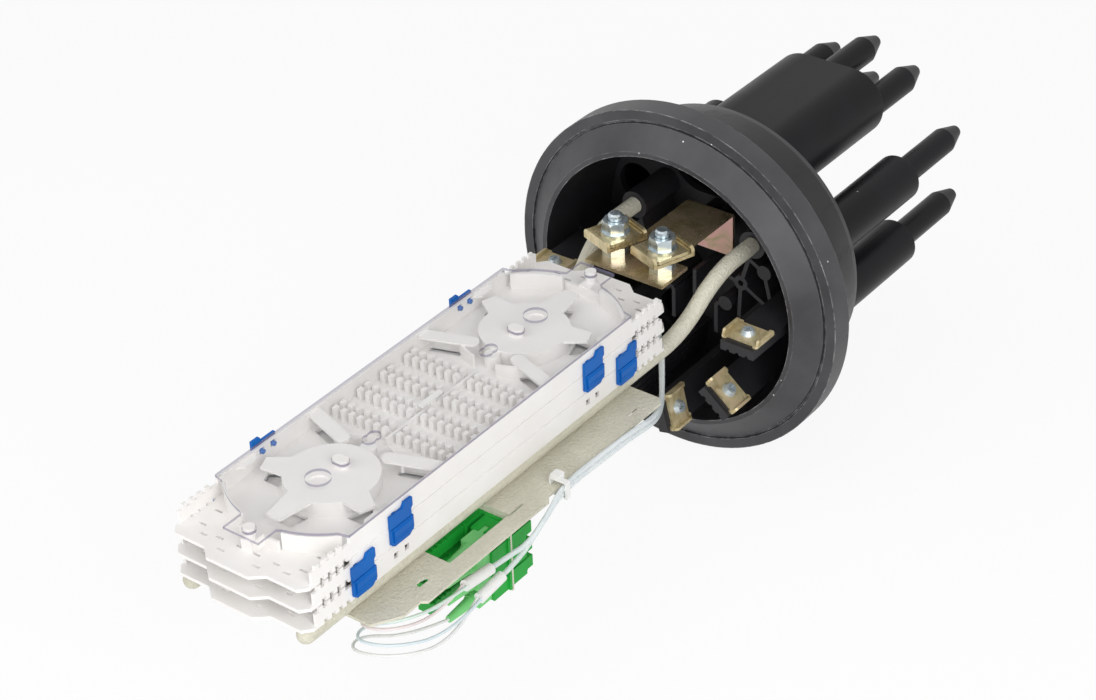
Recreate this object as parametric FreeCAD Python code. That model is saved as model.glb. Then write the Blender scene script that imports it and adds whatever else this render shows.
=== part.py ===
import FreeCAD, Part
import math
import os

os.makedirs("parts", exist_ok=True)

V = FreeCAD.Vector

# Driving dimensions, mm. X is the closure axis and points out of the mouth, Z is up,
# and x = 0 is the flange face that the dome seats on.
flange_r = 105.0
flange_width = 15.0
flange_ring = 6.0
nose_reach = 9.6
mouth_r = 81.7
mouth_lip = 2.8
mouth_draft = 2.0
body_front_r = 96.0
body_back_r = 85.0
body_back_x = -55.0
back_plate = 4.0

port_circle_r = 64.5
port_angles = (19.0, -20.0, -59.0)
port_r = 14.0
port_shoulder_x = -138.0
spout_r = 7.8
spout_end_x = -190.0
spout_tip_x = -204.0
spout_tip_r = 3.6
port_wall = 2.0

oval_z = 48.0
oval_r = 21.0
oval_half_span = 16.0
oval_end_x = -160.0
oval_spout_r = 8.4
oval_spout_end_x = -198.0
oval_spout_tip_x = -212.0
oval_spout_places = ((-27.5, 0.0), (27.5, 0.0), (0.0, 12.0), (0.0, -12.0))

rod_r = 4.75
rod_y = 36.0
rod_base_y = 39.5
rod_base_z = 29.0
rod_tray_z = 4.75
rod_root_x = -46.0
rod_tip_x = 356.0
rod_joggle = (16.0, 46.0)
rod_socket_r = 8.2
rod_socket_x = -18.0
rod_clearance = 0.15

web_top_x = -20.0
web_half = 1.2
web_boss_r = 4.5
web_hole_r = 1.8
web_ring = (31.0, 0.5)
web_upper_disc = (46.2, 12.2)
web_lower_disc = (20.7, -16.5)
web_fork = (36.2, 17.9)
web_foot = (14.5, -18.5)
web_ends = ((48.0, -9.0), (30.0, -22.0), (23.0, 2.0))
web_drop = (50.6, -5.5)
web_foot_end = (14.5, -38.0)
web_middle = ((0.0, -1.4), (0.0, -20.0))

post_angles = (-0.5, -39.5, -77.0)
post_half = 3.0
post_reach_x = 36.0
post_inner_r = 55.0
post_outer_r = 76.0
rib_inner_r = 58.0
rib_reach_x = -20.0
rib_half = 1.2
rib_clearance = 0.3
yarn_plate_x = (15.0, 33.6)
yarn_plate_r = (53.5, 76.5)
yarn_sheet = 1.5
yarn_lip = 4.0
yarn_ear = 3.4
yarn_waist = 1.6
yarn_screw_r = 1.9
yarn_head_r = 4.3
yarn_head_height = 2.8

bracket_sheet = 2.0
bracket_top_z = 32.0
bracket_foot_z = 4.0
bracket_rear_x = -38.0
bracket_front_x = 48.0
bracket_strip_half = 15.0
bracket_tee_x = 24.0
bracket_tee_half = 25.5
bracket_screws = ((-4.6, 24.4), (4.6, 24.4))
bracket_screw_r = 2.0
bracket_head_r = 3.4
bracket_boss_r = 4.4

clamp_x = 33.0
clamp_y = 15.5
clamp_turn = -20.0
clamp_side = 22.4
clamp_sheet = 2.0
clamp_lip = 4.0
clamp_corner_r = 3.0
stud_r = 3.9
nut_flats = 13.0
nut_height = 6.5
washer_r = 8.0
washer_height = 1.2
spacer_height = 9.0
stud_proud = 4.0

tray_gap = 12.0
tray_pitch = 12.0
tray_half_width = 42.0
tray_wall = 1.6
tray_floor = 1.8
tray_seam = (0.4, 0.7)
tray_middle_half = 57.0
tray_bay_half = 112.0
tray_end_half = 151.0
tray_nose_half = 13.0
tray_shoulder_u = 145.5
tray_shoulder_v = (19.5, 38.0)
tray_corner_u = 141.0
tray_end_wall_u = 128.0
end_wall_reach = 12.2
end_wall_half = 0.8
end_wall_height = 7.0
tray_rail_u = 139.0
tray_rail_height = 8.6
tray_tooth_u = 119.0
tray_tooth = 2.6
tray_tooth_height = 11.0
tray_notch_height = 2.4
tray_slots = ((121.5, 32.0), (133.0, 31.5), (138.7, 26.0), (136.4, 17.5), (143.0, 11.0),
              (136.2, 5.2))
drum_u = 76.0
drum_r = 24.0
drum_height = 10.0
drum_skin = 1.5
dish_depth = 0.8
arm_turns = ((0.0, 42.0), (70.0, 35.0), (290.0, 35.0))
arm_root_half = 7.6
arm_tip_half = 4.2
arm_sheet = 1.4
finger_root = (-34.0, 41.2)
finger_tip = (-25.0, 14.8)
finger_half = 3.8
finger_z = (9.0, 10.4)
ledge_u = 92.0
ledge_v = 37.2
ledge_root_half = 7.6
ledge_tip_half = 4.0
guard_r = (50.4, 52.0)
guard_start = 14.0
guard_sweep = 32.0
fin_r = (33.6, 35.0)
fin_starts = (140.0, 192.0)
fin_sweep = 28.0
spine_reach = 36.0
spine_half = 0.8
spine_height = 6.2
flag_reach = 8.0
flag_overhang = 2.2
flag_neck = 2.0
flag_z = (8.6, 9.8)
boss_u = 49.0
boss_r = 4.2
comb_columns = (-28.0, -9.0, 9.0, 28.0)
comb_length = 9.0
comb_tooth = 2.4
comb_pitch = 5.3
comb_first_y = 4.6
comb_teeth = 7
comb_height = 8.2
comb_groove = 2.6
comb_root = 3.2
post_u = 69.0
post_r = 3.0
post_half_span = 1.4
knob_u = 134.0
knob_r = 3.0
block_length = 9.0
block_half = 3.4
block_height = 8.0
tray_x = bracket_front_x + tray_gap + tray_end_half

cover_sheet = 1.5
cover_lug_half = 11.0
cover_lug_u = 140.0
cover_window_u = 85.5
cover_window_r = 6.5
cover_slot_u = 46.0

link_upper_u = 77.0
link_lower_u = 105.5
link_width = 16.5
link_top = 9.8
link_bottom = 10.6
link_far_rise = 3.5
link_far_head = 2.6
link_sheet = 1.6
link_gap = 0.25
link_pin_r = 1.35
link_pin_half_pitch = 4.0
link_hole_half = 1.6

panel_sheet = 1.5
panel_rear_x = 96.5
panel_front_x = 325.0
panel_far_y = -41.0
panel_near_y = 60.5
panel_wide_y = 63.5
panel_front_bevel = (14.0, 8.5)
panel_rear_bevel = 3.5
panel_wide_x = (201.0, 296.0)
panel_wide_run = (4.0, 2.0)
panel_slots = ((282.0, 290.0, 50.0, 53.5), (110.0, 119.0, 52.0, 53.6))
window_x = (221.0, 267.5)
window_y = (23.0, 53.7)
relief_length = 11.0

adapter_columns = (46.5, 31.0)
adapter_rows = (-9.3, -20.0, -30.7, -41.4)
adapter_half_y = 6.4
adapter_half_z = 4.65
adapter_half_length = 13.5
adapter_flange = (7.4, 5.1, 1.8)
adapter_socket = (5.0, 3.9, 11.0)
plug_half = (4.7, 3.6)
plug_body_x = 244.5
plug_collar = (2.2, 3.5)
boot_r = (3.1, 1.9)
boot_end_x = 263.0
dust_plug_x = 262.0
grip_first = 3.0
grip_pitch = 4.0
grip_width = 1.6
grip_depth = 0.9
grip_count = 4
cap_sheet = 1.6
cap_half = (5.4, 4.1)
cap_reach = 6.0
cap_tab_y = 1.4
cap_tab_half_z = 3.4

tube_r = 1.4
pigtail_r = 0.8
sleeve_r = 3.0
tie_x = 187.7
tie_y = (54.6, 65.6)
tie_z = (-5.8, 4.4)
tie_half = 1.5
tie_sheet = 1.0
tie_head_y = (56.5, 61.5)
tie_head_half = 2.6
tie_head_height = 3.2
tie_slot_play = 0.2


def box(x0, x1, y0, y1, z0, z1):
    return Part.makeBox(x1 - x0, y1 - y0, z1 - z0, V(x0, y0, z0))


def along_x(x0, x1, y, z, r):
    return Part.makeCylinder(r, x1 - x0, V(x0, y, z), V(1, 0, 0))


def along_z(x, y, z0, z1, r):
    return Part.makeCylinder(r, z1 - z0, V(x, y, z0), V(0, 0, 1))


def taper_x(x0, r0, x1, r1, y, z):
    cone = Part.makeCone(r0, r1, abs(x1 - x0), V(0, 0, 0), V(1 if x1 > x0 else -1, 0, 0))
    cone.translate(V(x0, y, z))
    return cone


def outline(points):
    return Part.Face(Part.makePolygon([V(*p) for p in points + points[:1]]))


def slab(points, z0, z1):
    return outline([(x, y, z0) for x, y in points]).extrude(V(0, 0, z1 - z0))


def turned(profile):
    return outline([(x, r, 0) for x, r in profile]).revolve(V(0, 0, 0), V(1, 0, 0), 360)


def hexagon(x, y, z0, z1, flats):
    corner = flats / math.sqrt(3)
    points = [(x + corner * math.cos(math.radians(60 * k + 15)),
               y + corner * math.sin(math.radians(60 * k + 15))) for k in range(6)]
    return slab(points, z0, z1)


def fused(first, others):
    return first.multiFuse(others).removeSplitter()


def less(shape, cuts):
    return shape.cut(Part.makeCompound(cuts))


def mirrored_y(shape):
    return shape.mirror(V(0, 0, 0), V(0, 1, 0))


def mirrored_x(shape):
    return shape.mirror(V(0, 0, 0), V(1, 0, 0))


def keep(name, shape):
    shape.exportStep("parts/%s.step" % name)
    print("%-18s %9.1f mm3  solids %d" % (name, shape.Volume, len(shape.Solids)))


# A round bar along straight runs joined by tangent arcs
def bent(points, radius):
    knots = [V(*p) for p in points]
    edges = []
    radii = []
    start = knots[0]
    for before, corner, after in zip(knots, knots[1:], knots[2:]):
        to_before = (before - corner).normalize()
        to_after = (after - corner).normalize()
        turn = math.pi - to_before.getAngle(to_after)
        reach = 0.45 * min((before - corner).Length, (after - corner).Length)
        bend = reach / math.tan(turn / 2)
        arc_in = corner + to_before * reach
        arc_out = corner + to_after * reach
        halfway = (to_before + to_after).normalize()
        centre = corner + halfway * (bend / math.cos(turn / 2))
        arc_mid = centre - halfway * bend
        edges.append(Part.LineSegment(start, arc_in).toShape())
        edges.append(Part.Arc(arc_in, arc_mid, arc_out).toShape())
        radii.append(bend)
        start = arc_out
    edges.append(Part.LineSegment(start, knots[-1]).toShape())
    path = Part.Wire(edges)
    first = knots[1] - knots[0]
    ring = Part.Wire(Part.makeCircle(radius, knots[0], first))
    bar = path.makePipeShell([ring], True, False)
    ideal = math.pi * radius ** 2 * path.Length
    print("  bend radii %s, volume ratio %.4f"
          % (", ".join("%.1f" % r for r in radii), bar.Volume / ideal))
    return bar


def at_angle(shape, angle):
    turned_shape = shape.copy()
    turned_shape.rotate(V(0, 0, 0), V(1, 0, 0), angle)
    return turned_shape


def polar(r, angle):
    return r * math.cos(math.radians(angle)), r * math.sin(math.radians(angle))


def stadium(x0, x1, r):
    ends = [along_x(x0, x1, y, oval_z, r) for y in (-oval_half_span, oval_half_span)]
    middle = box(x0, x1, -oval_half_span, oval_half_span, oval_z - r, oval_z + r)
    return fused(middle, ends)


# Base moulding, in bodies that meet on flat faces: cup, back plate, ports and clamp posts
cavity_floor_x = body_back_x + back_plate
ring_inner_r = flange_r - flange_ring
wall_floor_r = mouth_r - mouth_draft
body_slope = (body_front_r - body_back_r) / (-flange_width - body_back_x)
plate_edge_r = body_back_r + body_slope * back_plate
wall_slope = mouth_draft / (nose_reach - cavity_floor_x)
cup_profile = [
    (cavity_floor_x, wall_floor_r), (cavity_floor_x, plate_edge_r), (-flange_width, body_front_r),
    (-flange_width, flange_r - 1), (-flange_width + 1, flange_r), (0, flange_r),
    (0, ring_inner_r), (-1.4, ring_inner_r - 0.4),
    (-1.4, ring_inner_r - 1.4), (0, ring_inner_r - 1.8),
    (nose_reach, mouth_r + mouth_lip), (nose_reach, mouth_r)]
keep("base_housing", turned(cup_profile))

round_ports = []
port_holes = []
for angle in port_angles:
    for side in (angle, 180 - angle):
        y, z = polar(port_circle_r, side)
        sleeve_end_x = port_shoulder_x + port_wall
        bore = along_x(sleeve_end_x, 0, y, z, port_r - port_wall)
        round_ports.append(less(along_x(sleeve_end_x, body_back_x, y, z, port_r), [bore]))
        spout = fused(along_x(port_shoulder_x, sleeve_end_x, y, z, port_r),
                      [along_x(spout_end_x, port_shoulder_x, y, z, spout_r),
                       taper_x(spout_end_x, spout_r, spout_tip_x, spout_tip_r, y, z)])
        spout_bore = along_x(spout_end_x, sleeve_end_x, y, z, spout_r - port_wall)
        round_ports.append(less(spout, [spout_bore]))
        port_holes.append(bore)
keep("round_ports", Part.makeCompound(round_ports))

oval = stadium(oval_end_x, body_back_x, oval_r)
oval_hole = stadium(oval_end_x + port_wall, 0, oval_r - port_wall)
spouts = []
spout_bores = []
for y, z in oval_spout_places:
    spouts.append(along_x(oval_spout_end_x, oval_end_x, y, oval_z + z, oval_spout_r))
    spouts.append(taper_x(oval_spout_end_x, oval_spout_r, oval_spout_tip_x, spout_tip_r,
                          y, oval_z + z))
    spout_bores.append(along_x(oval_spout_end_x, oval_end_x + port_wall, y, oval_z + z,
                               oval_spout_r - port_wall))
keep("oval_port", less(fused(oval, spouts), [oval_hole] + spout_bores))

# Back plate in sectors that meet on the planes through the port axes
plate = turned([(body_back_x, 0), (body_back_x, body_back_r), (cavity_floor_x, plate_edge_r),
                (cavity_floor_x, 0)])
plate = less(plate, port_holes + [oval_hole])
seams = sorted([a % 360 for a in port_angles] + [180 - a for a in port_angles] + [90])
sectors = []
for start, stop in zip(seams, seams[1:] + [seams[0] + 360]):
    rays = [polar(3 * flange_r, start + (stop - start) * k / 2) for k in range(3)]
    wedge = outline([(body_back_x - 1, 0, 0)] + [(body_back_x - 1, y, z) for y, z in rays])
    sectors.append(plate.common(wedge.extrude(V(back_plate + 2, 0, 0))))
keep("base_plate", Part.makeCompound(sectors))


# Rod sockets, bracket bosses and webs that stand on the back plate
def standing(y, z, r, top_x):
    return along_x(cavity_floor_x, top_x, y, z, r)


def web(start, end):
    run = V(0, end[0] - start[0], end[1] - start[1])
    across = V(0, -run.z, run.y).normalize() * web_half
    corners = [(start, 1), (end, 1), (end, -1), (start, -1)]
    points = [(cavity_floor_x, p[0] + k * across.y, p[1] + k * across.z) for p, k in corners]
    return outline(points).extrude(V(web_top_x - cavity_floor_x, 0, 0))


bosses = []
for y, z in bracket_screws:
    screw_hole = along_x(bracket_rear_x - 8, 0, y, z, bracket_screw_r + 0.1)
    bosses.append(less(standing(y, z, bracket_boss_r, bracket_rear_x), [screw_hole]))
socket = less(standing(rod_base_y, rod_base_z, rod_socket_r, rod_socket_x),
              [along_x(rod_root_x, 0, rod_base_y, rod_base_z, rod_r + rod_clearance)])
ring = standing(web_ring[0], web_ring[1], web_boss_r, web_top_x)
upper_disc = standing(web_upper_disc[0], web_upper_disc[1], web_boss_r, web_top_x)
lower_disc = standing(web_lower_disc[0], web_lower_disc[1], web_boss_r, web_top_x)
solid_socket = standing(rod_base_y, rod_base_z, rod_socket_r, rod_socket_x)
rounds = [solid_socket, ring, upper_disc, lower_disc]
web_runs = [(web_ring, (rod_base_y, rod_base_z)), (web_fork, web_upper_disc),
            (web_upper_disc, web_drop), (web_lower_disc, web_foot), (web_foot, web_foot_end)]
web_runs += [(web_ring, end) for end in web_ends]
webs = []
for start, end in web_runs:
    webs.append(less(web(start, end), rounds + webs))
ring = less(ring, [along_x(cavity_floor_x + 8, 0, web_ring[0], web_ring[1], web_hole_r)])
for shape in [socket, ring, upper_disc, lower_disc] + webs:
    bosses.extend([shape, mirrored_y(shape)])
bosses.append(web(web_middle[0], web_middle[1]))
keep("base_webs", Part.makeCompound(bosses))

posts = []
plate_middle_x = sum(yarn_plate_x) / 2
plate_middle_r = sum(yarn_plate_r) / 2
for angle in post_angles:
    tip_r = wall_floor_r + wall_slope * (rib_reach_x - cavity_floor_x)
    rib_points = [(cavity_floor_x, rib_inner_r), (rib_reach_x, rib_inner_r),
                  (rib_reach_x, tip_r - rib_clearance), (cavity_floor_x, wall_floor_r - rib_clearance)]
    rib = slab(rib_points, -rib_half, rib_half)
    post = box(cavity_floor_x, post_reach_x, post_inner_r, post_outer_r, -post_half, post_half)
    flutes = [box(-30, post_reach_x + 1, r, r + 2.2, -post_half - 1, -post_half + 1.2)
              for r in (post_inner_r + 3.5, post_inner_r + 9.4, post_inner_r + 15.3)]
    hole = Part.makeCylinder(yarn_screw_r + 0.1, post_half + 4,
                             V(plate_middle_x, plate_middle_r, -post_half + 1.4), V(0, 0, 1))
    near_post = at_angle(less(fused(post, [rib]), flutes + [hole]), angle)
    posts.extend([near_post, mirrored_y(near_post)])
keep("clamp_posts", Part.makeCompound(posts))

# Carrier rods, plugged into the sockets and cranked down under the trays
for name, side in (("rod_far", -1), ("rod_near", 1)):
    y = side * rod_y
    base_y = side * rod_base_y
    rod = bent([(rod_root_x, base_y, rod_base_z), (rod_joggle[0], base_y, rod_base_z),
                (rod_joggle[1], y, rod_tray_z), (rod_tip_x - rod_r, y, rod_tray_z)], rod_r)
    dome = Part.makeSphere(rod_r, V(rod_tip_x - rod_r, y, rod_tray_z))
    keep(name, fused(rod, [dome]))

# Strength-member bracket, folded from one strip
strip_z = bracket_top_z - bracket_sheet
leg_front_x = bracket_rear_x + bracket_sheet
bracket = fused(
    box(bracket_rear_x, bracket_front_x, -bracket_strip_half, bracket_strip_half,
        strip_z, bracket_top_z),
    [box(bracket_tee_x, bracket_front_x, -bracket_tee_half, bracket_tee_half,
         strip_z, bracket_top_z),
     box(bracket_rear_x, leg_front_x, -bracket_strip_half, bracket_strip_half,
         bracket_foot_z, bracket_top_z)])
fold = [e for e in bracket.Edges
        if abs(e.CenterOfMass.x - bracket_rear_x) < 0.01
        and abs(e.CenterOfMass.z - bracket_top_z) < 0.01]
bracket = bracket.makeFillet(bracket_sheet * 1.5, fold)
bracket_holes = [along_x(bracket_rear_x - 1, leg_front_x + 1, y, z, bracket_screw_r + 0.4)
                 for y, z in bracket_screws]
bracket_holes += [along_z(clamp_x, y, strip_z - 1, bracket_top_z + 1, stud_r + 0.1)
                  for y in (-clamp_y, clamp_y)]
keep("strength_bracket", less(bracket, bracket_holes))

foot_screws = []
for y, z in bracket_screws:
    head = along_x(leg_front_x, leg_front_x + 3, y, z, bracket_head_r)
    head = less(head, [box(leg_front_x + 1.6, leg_front_x + 4, y - 4.5, y + 4.5, z - 0.5, z + 0.5)])
    shank = along_x(bracket_rear_x - 7, leg_front_x, y, z, bracket_screw_r)
    foot_screws.append(fused(head, [shank]))
keep("bracket_screws", Part.makeCompound(foot_screws))

# Two strength-member clamps: fixed stud and channel plate, lifting plate and nut
spacer_z = bracket_top_z + spacer_height
channel_z = spacer_z + clamp_sheet
plate_gap = 0.3
top_plate_z = channel_z + plate_gap + clamp_sheet
for name, side in (("far", -1), ("near", 1)):
    y = side * clamp_y
    half = clamp_side / 2
    pivot = V(clamp_x, y, 0)
    up = V(0, 0, 1)
    nut_z = top_plate_z + washer_height
    stud_top_z = nut_z + nut_height + stud_proud
    stud = along_z(clamp_x, y, strip_z, stud_top_z, stud_r)
    rim = [e for e in stud.Edges if e.CenterOfMass.z > stud_top_z - 0.1 and e.Closed]
    stud = stud.makeChamfer(0.9, rim)
    spacer = hexagon(clamp_x, y, bracket_top_z, bracket_top_z + 5.5, 13.0)
    neck = along_z(clamp_x, y, bracket_top_z + 5.5, spacer_z, 5.4)
    keep("clamp_stud_" + name, fused(stud, [spacer, neck]))

    channel = box(clamp_x - half - clamp_sheet, clamp_x + half + clamp_sheet,
                  y - half, y + half, spacer_z, channel_z)
    lips = []
    for x0 in (clamp_x - half - clamp_sheet, clamp_x + half):
        lip = box(x0, x0 + clamp_sheet, y - half, y + half, spacer_z, channel_z + clamp_lip)
        top_corners = [e for e in lip.Edges if abs(e.Curve.Direction.x) > 0.9
                       and e.CenterOfMass.z > channel_z]
        lips.append(lip.makeFillet(clamp_corner_r, top_corners))
    channel = less(fused(channel, lips),
                   [along_z(clamp_x, y, spacer_z - 1, channel_z + 1, stud_r + 0.15)])
    channel.rotate(pivot, up, clamp_turn)
    keep("clamp_channel_" + name, channel)

    inset = half - 0.4
    lid = box(clamp_x - inset, clamp_x + inset, y - half, y + half,
              channel_z + plate_gap, top_plate_z)
    corners = [e for e in lid.Edges if abs(e.Curve.Direction.z) > 0.9]
    lid = less(lid.makeFillet(2.0, corners),
               [along_z(clamp_x, y, channel_z, top_plate_z + 1, stud_r + 0.35)])
    lid.rotate(pivot, up, clamp_turn)
    keep("clamp_plate_" + name, lid)

    nut_cone = Part.makeCone(nut_flats, nut_flats / 2, nut_flats / 2 + nut_height,
                             V(clamp_x, y, nut_z - nut_flats / 2 + 0.6))
    nut = hexagon(clamp_x, y, nut_z, nut_z + nut_height, nut_flats).common(nut_cone)
    washer = along_z(clamp_x, y, top_plate_z, nut_z, washer_r)
    keep("clamp_nut_" + name,
         less(fused(nut, [washer]),
              [along_z(clamp_x, y, top_plate_z - 1, nut_z + 9, stud_r + 0.35)]))

# Yarn clamps: a lipped plate and a pan-head screw on each moulded post
def yarn_plate():
    x0, x1 = yarn_plate_x
    r0, r1 = yarn_plate_r
    base_z = post_half
    sheet = box(x0 + yarn_waist, x1 - yarn_waist, r0, r1, base_z, base_z + yarn_sheet)
    edges = []
    for r, lip_r in ((r0, r0), (r1 - yarn_ear, r1 - yarn_sheet)):
        ear = box(x0, x1, r, r + yarn_ear, base_z, base_z + yarn_sheet)
        corners = [e for e in ear.Edges if abs(e.Curve.Direction.z) > 0.9]
        edges.append(ear.makeFillet(yarn_sheet, corners))
        lip = box(x0 + 1.6, x1 - 1.6, lip_r, lip_r + yarn_sheet, base_z, base_z + yarn_lip)
        top_corners = [e for e in lip.Edges if abs(e.Curve.Direction.y) > 0.9
                       and e.CenterOfMass.z > base_z + 1]
        edges.append(lip.makeFillet(2.0, top_corners))
    return less(fused(sheet, edges),
                [Part.makeCylinder(yarn_screw_r + 0.3, 6,
                                   V(plate_middle_x, plate_middle_r, base_z - 1))])


def yarn_screw():
    top = post_half + yarn_sheet
    centre = V(plate_middle_x, plate_middle_r, top)
    head = Part.makeCone(yarn_head_r, yarn_head_r - 1.3, yarn_head_height, centre)
    shank = Part.makeCylinder(yarn_screw_r, top + post_half - 1.4,
                              V(plate_middle_x, plate_middle_r, -post_half + 1.4))
    slots = [box(plate_middle_x - a, plate_middle_x + a, plate_middle_r - b, plate_middle_r + b,
                 top + 1.4, top + 5) for a, b in ((2.2, 0.45), (0.45, 2.2))]
    return less(fused(head, [shank]), slots)


screws = []
for index, angle in enumerate(post_angles):
    near_plate = at_angle(yarn_plate(), angle)
    near_screw = at_angle(yarn_screw(), angle)
    keep("yarn_clamp_near_%d" % (index + 1), near_plate)
    keep("yarn_clamp_far_%d" % (index + 1), mirrored_y(near_plate))
    screws.extend([near_screw, mirrored_y(near_screw)])
keep("yarn_clamp_screws", Part.makeCompound(screws))

# Splice trays, three alike, stacked on the rods
tray_bottom_z = rod_tray_z + rod_r


def tray_outline():
    step_v, side_v = tray_shoulder_v
    near = [(tray_end_half, tray_nose_half), (tray_shoulder_u, step_v), (tray_shoulder_u, side_v),
            (tray_corner_u, tray_half_width)]
    half = [(u, -v) for u, v in reversed(near)] + near
    return half + [(-u, -v) for u, v in half]


def arc_wall(centre_u, r0, r1, start, sweep, z0, z1):
    ring = along_z(centre_u, 0, z0, z1, r1).cut(along_z(centre_u, 0, z0, z1, r0))
    wedge = [(centre_u, 0)]
    for k in range(4):
        angle = math.radians(start + sweep * k / 3)
        wedge.append((centre_u + 2 * r1 * math.cos(angle), 2 * r1 * math.sin(angle)))
    return ring.common(slab(wedge, z0, z1))


def capsule(u, half_span, r, z0, z1):
    ends = [along_z(u, v, z0, z1, r) for v in (-half_span, half_span)]
    return fused(box(u - r, u + r, -half_span, half_span, z0, z1), ends)


# A strip of the given half width along a line in plan, with a round tip
def blade(root, tip, half, z0, z1):
    run = V(tip[0] - root[0], tip[1] - root[1], 0)
    across = V(-run.y, run.x, 0).normalize() * half
    corners = [(root, 1), (tip, 1), (tip, -1), (root, -1)]
    points = [(p[0] + k * across.x, p[1] + k * across.y) for p, k in corners]
    return fused(slab(points, z0, z1), [along_z(tip[0], tip[1], z0, z1, half)])


def arm(turn, reach, inner, spare, z0, z1):
    points = [(inner, -arm_root_half + spare), (reach, -arm_tip_half + spare),
              (reach, arm_tip_half - spare), (inner, arm_root_half - spare)]
    shape = slab(points, z0, z1)
    shape.rotate(V(0, 0, 0), V(0, 0, 1), turn)
    return shape


# The same shapes at the front drum and, turned half round, at the rear one
def at_both_drums(shapes):
    placed = []
    for shape in shapes:
        front = shape.copy()
        front.translate(V(drum_u, 0, 0))
        rear = front.copy()
        rear.rotate(V(0, 0, 0), V(0, 0, 1), 180)
        placed.extend([front, rear])
    return placed


# Openings in the floor under the drum, the arms and the fingers
def floor_openings():
    shapes = [along_z(0, 0, -1, tray_floor + 1, drum_r - drum_skin)]
    for turn, reach in arm_turns:
        shapes.append(arm(turn, reach - 0.6, drum_r + 1.5, 0.6, -1, tray_floor + 1))
    for side in (-1, 1):
        root = (finger_root[0] + 1.6, side * (finger_root[1] - 4.0))
        tip = (finger_tip[0] - 2.4, side * (finger_tip[1] + 6.4))
        shapes.append(blade(root, tip, finger_half - 1.0, -1, tray_floor + 1))
    return at_both_drums(shapes)


# Middle of the floor with the splice combs, its spine and the fins that face the drums
def comb_floor():
    inner_v = tray_half_width - tray_wall
    low = tray_floor - 0.2
    solids = [box(-spine_reach, spine_reach, -spine_half, spine_half, low, spine_height),
              box(-flag_reach, flag_reach, -flag_overhang, spine_half, flag_z[0], flag_z[1]),
              box(-flag_neck, flag_neck, -spine_half, spine_half, spine_height - 0.2, flag_z[1])]
    for turn in fin_starts:
        fin = arc_wall(0, fin_r[0], fin_r[1], turn, fin_sweep, low, finger_z[0])
        solids += at_both_drums([fin])
    for end in (-1, 1):
        solids.append(along_z(end * boss_u, 0, low, comb_height + 1, boss_r))
    cuts = floor_openings()
    cuts += at_both_drums([along_z(0, 0, tray_floor, 2 * tray_pitch, drum_r)])
    row_end = comb_first_y + comb_pitch * (comb_teeth - 1) + comb_tooth
    for u in comb_columns:
        for k in range(comb_teeth):
            y = comb_first_y + comb_pitch * k
            for v in (-y, y):
                solids.append(box(u - comb_length / 2, u + comb_length / 2, v - comb_tooth / 2,
                                  v + comb_tooth / 2, low, comb_height))
        for side in (-1, 1):
            row = sorted((side * 2, side * row_end))
            cuts.append(box(u - comb_groove / 2, u + comb_groove / 2, row[0], row[1],
                            comb_root, comb_height + 1))
    floor = box(-tray_middle_half, tray_middle_half, -inner_v, inner_v, 0, tray_floor)
    return less(fused(floor, solids), cuts)


# End platform with its toothed rails, slots, end wall and the block under the knob
def tray_platform(hole_places):
    low = tray_floor - 0.2
    plan = [(u, v) for u, v in tray_outline() if u > 0]
    plan += [(tray_bay_half, tray_half_width), (tray_bay_half, -tray_half_width)]
    wall_u = tray_end_wall_u
    solids = [box(wall_u - end_wall_half, wall_u + end_wall_half, -end_wall_reach, end_wall_reach,
                  low, end_wall_height),
              box(wall_u, wall_u + block_length, -block_half, block_half, low, block_height)]
    cuts = []
    for side in (-1, 1):
        rail_v = sorted((side * tray_half_width, side * (tray_half_width - tray_wall)))
        notch_v = sorted((side * (tray_half_width + 1), side * (tray_half_width - 1.5 * tray_wall)))
        solids.append(box(tray_bay_half, tray_rail_u, rail_v[0], rail_v[1], low, tray_rail_height))
        for k in range(4):
            u = tray_tooth_u + comb_pitch * k
            solids.append(box(u - tray_tooth / 2, u + tray_tooth / 2, rail_v[0], rail_v[1],
                              low, tray_tooth_height))
            gap_u = u - comb_pitch / 2
            cuts.append(box(gap_u - tray_tooth / 2, gap_u + tray_tooth / 2, notch_v[0], notch_v[1],
                            -1, tray_notch_height))
        for u, v in tray_slots:
            cuts.append(box(u - 0.7, u + 0.7, side * v - 2.2, side * v + 2.2, -1, tray_floor + 1))
        cuts += link_holes(hole_places, side)
    return less(fused(slab(plan, 0, tray_floor), solids), cuts)


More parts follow.
